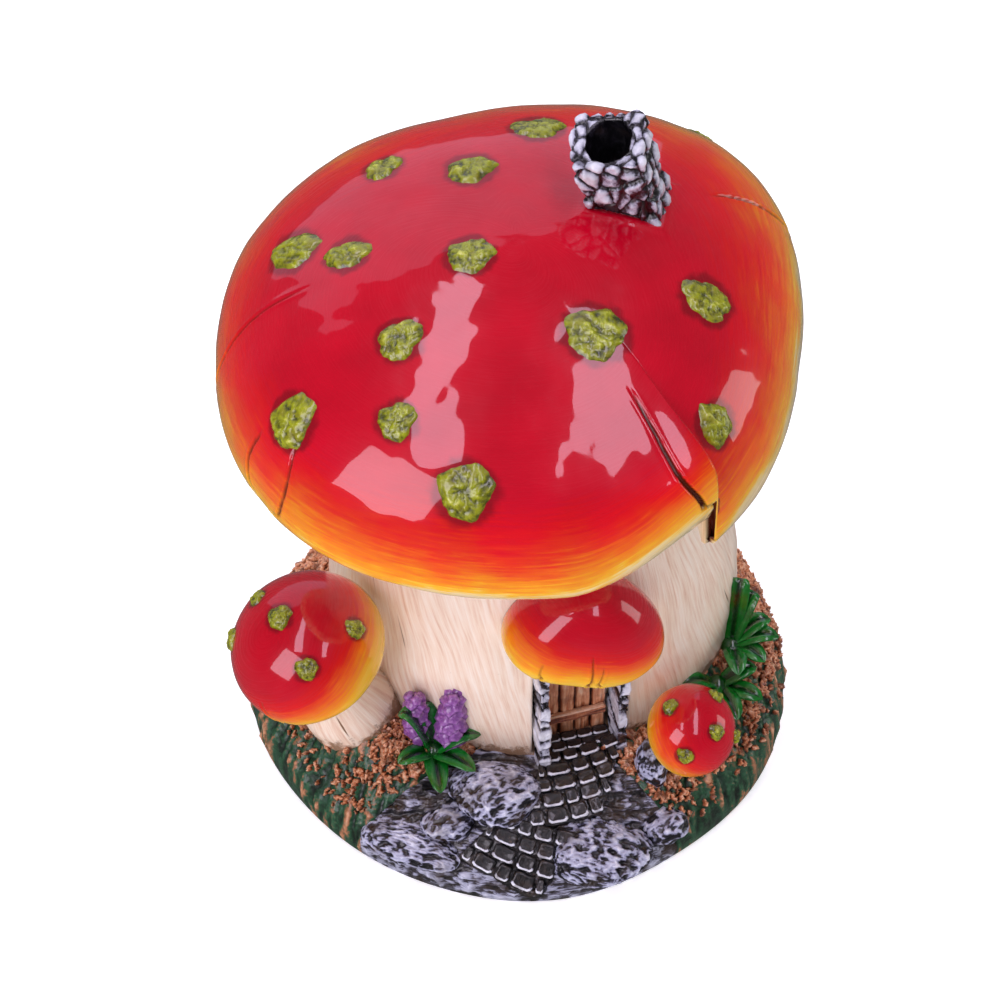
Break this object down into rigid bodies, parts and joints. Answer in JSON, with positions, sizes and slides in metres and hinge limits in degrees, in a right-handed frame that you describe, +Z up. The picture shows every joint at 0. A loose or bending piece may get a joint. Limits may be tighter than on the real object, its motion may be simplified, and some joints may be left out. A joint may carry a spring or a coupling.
{
  "type": "mushroom fairy house",
  "caption": "Toadstool-shaped house ornament with a broad glossy cap, a chimney, a planked door under a small porch cap, paved steps and side toadstools.",
  "frame": {"origin": "middle of the flat underside, on the surface that the ornament stands on", "axes": "+Z up through the cap, -Y towards the door side, +X to the right of someone who faces the door side"},
  "size_m": [0.164, 0.1646, 0.2194],
  "materials": {
    "cap_lacquer": "crimson paint fading to orange and yellow at the rim, high-gloss lacquer",
    "trunk_cream": "cream paint with combed fibres and a pink wash, satin lacquer",
    "gill_cream": "ochre cream paint",
    "moss_spot": "yellow-green paint under clear lacquer",
    "bank_moss": "dark green paint, dry-brushed in tan",
    "rock": "black paint, dry-brushed in pale grey and lavender",
    "chimney_stone": "black paint, dry-brushed in white and lavender",
    "brick": "black paint with pale grey brick edges",
    "door_wood": "brown paint with dark grain",
    "leaf": "deep green gloss paint",
    "flower": "purple paint",
    "plate": "plain black"
  },
  "bodies": {
    "root": {"door_panel": "door_wood", "door_batten": "door_wood", "door_sill": "brick", "door_jamb_left": "chimney_stone", "door_jamb_right": "chimney_stone", "trunk": "trunk_cream", "porch_cap": "cap_lacquer", "base_plate": "plate", "ground_bank": "bank_moss", "rock_ledge": "rock", "main_cap": "cap_lacquer", "cap_gills": "gill_cream", "chimney": "chimney_stone", "cap_moss_01": "moss_spot", "cap_moss_02": "moss_spot", "cap_moss_03": "moss_spot", "cap_moss_04": "moss_spot", "cap_moss_05": "moss_spot", "cap_moss_06": "moss_spot", "cap_moss_07": "moss_spot", "cap_moss_08": "moss_spot", "cap_moss_09": "moss_spot", "cap_moss_10": "moss_spot", "cap_moss_11": "moss_spot", "cap_moss_12": "moss_spot", "cap_moss_13": "moss_spot", "cap_moss_14": "moss_spot", "cap_moss_15": "moss_spot", "cap_moss_16": "moss_spot", "cap_moss_17": "moss_spot", "left_toadstool_cap": "cap_lacquer", "left_toadstool_moss_1": "moss_spot", "left_toadstool_moss_2": "moss_spot", "left_toadstool_moss_3": "moss_spot", "left_toadstool_moss_4": "moss_spot", "left_toadstool_moss_5": "moss_spot", "left_toadstool_stem": "trunk_cream", "right_toadstool_cap": "cap_lacquer", "right_toadstool_moss_1": "moss_spot", "right_toadstool_moss_2": "moss_spot", "right_toadstool_moss_3": "moss_spot", "right_toadstool_moss_4": "moss_spot", "right_toadstool_moss_5": "moss_spot", "right_toadstool_stem": "trunk_cream", "boulder_left": "rock", "boulder_front_right": "rock", "stone_pillar": "rock", "rock_front_left": "rock", "rock_middle_left": "rock", "rock_right_small": "rock", "door_steps": "brick", "garden_path": "brick", "hyacinth_spike_left": "flower", "hyacinth_spike_right": "flower", "hyacinth_leaves": "leaf", "leaf_rosette_lower": "leaf", "leaf_rosette_upper": "leaf"}
  },
  "joints": []
}
